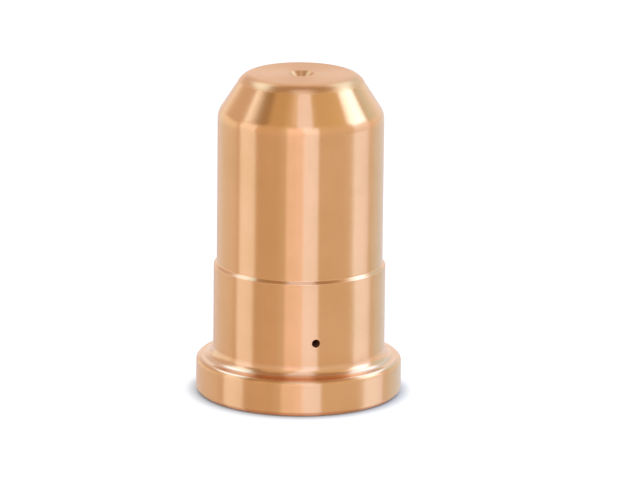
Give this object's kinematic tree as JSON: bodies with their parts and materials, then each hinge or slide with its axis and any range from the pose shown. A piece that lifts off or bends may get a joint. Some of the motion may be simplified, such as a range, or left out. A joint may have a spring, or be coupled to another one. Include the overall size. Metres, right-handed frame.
{
  "type": "plasma torch nozzle",
  "caption": "Turned copper nozzle for a plasma cutting torch: flanged, stepped barrel with a conical nose, a small central orifice and a converging gas bore, with fine radial bleed holes.",
  "frame": {"origin": "centre of the flange's rear face, on the axis", "axes": "+Z along the turning axis towards the nose and the orifice; the first bleed hole opens towards -Y"},
  "size_m": [0.0154, 0.0154, 0.0245],
  "materials": {
    "copper": "fine turned and polished bare copper"
  },
  "bodies": {
    "root": {"nozzle": "copper"}
  },
  "joints": []
}
